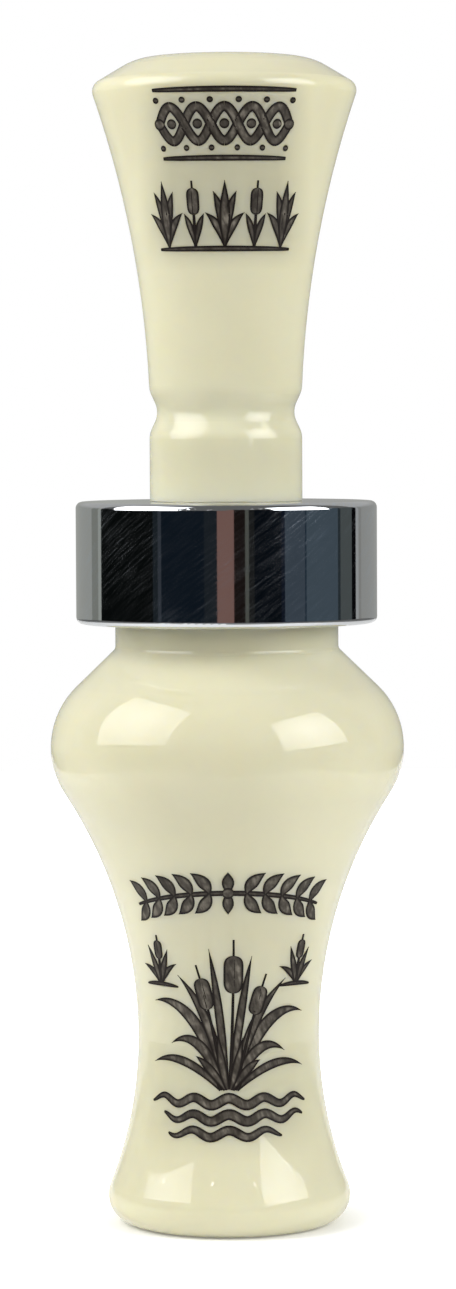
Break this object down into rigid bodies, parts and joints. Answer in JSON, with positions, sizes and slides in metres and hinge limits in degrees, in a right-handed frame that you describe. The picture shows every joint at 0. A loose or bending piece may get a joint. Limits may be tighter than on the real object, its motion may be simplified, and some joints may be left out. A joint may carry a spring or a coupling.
{
  "type": "duck call",
  "caption": "Turned acrylic duck call: a bulbous barrel with a capped metal band, and a flared insert holding a tone board, reed, wedge cork and O-rings.",
  "frame": {"origin": "centre of the flat mouthpiece end of the barrel, on the call's axis", "axes": "+Z along the axis towards the bell, -Y towards the engraved front and the reed side of the tone board"},
  "size_m": [0.038, 0.038, 0.1251],
  "materials": {
    "ivory_acrylic": "polished",
    "band_metal": "polished",
    "tone_board_acrylic": "satin",
    "o_ring_rubber": "matte",
    "reed_film": "frosted",
    "cork": "raw cork",
    "engraving_paint": "rubbed into the engraving"
  },
  "bodies": {
    "barrel": {"barrel": "ivory_acrylic", "band": "band_metal"},
    "seals": {"o_ring_lower": "o_ring_rubber", "o_ring_upper": "o_ring_rubber"},
    "insert": {"bell": "ivory_acrylic", "tone_board": "tone_board_acrylic", "wedge_cork": "cork"},
    "reed": {"reed": "reed_film"}
  },
  "joints": [
    {"name": "insert_pull", "type": "slide", "parent": "barrel", "child": "seals", "axis": [0, 0, 1], "range_m": [0, 0.07]},
    {"name": "insert_twist", "type": "hinge", "parent": "seals", "child": "insert", "pos_m": [0, 0, 0.071], "axis": [0, 0, 1], "continuous": true},
    {"name": "reed_flex", "type": "hinge", "parent": "insert", "child": "reed", "pos_m": [0, -0.0014, 0.0482], "axis": [1, 0, 0], "range_deg": [-1, 2.2], "stiffness_Nm_per_rad": 0.005, "deforming": ["reed"]}
  ]
}
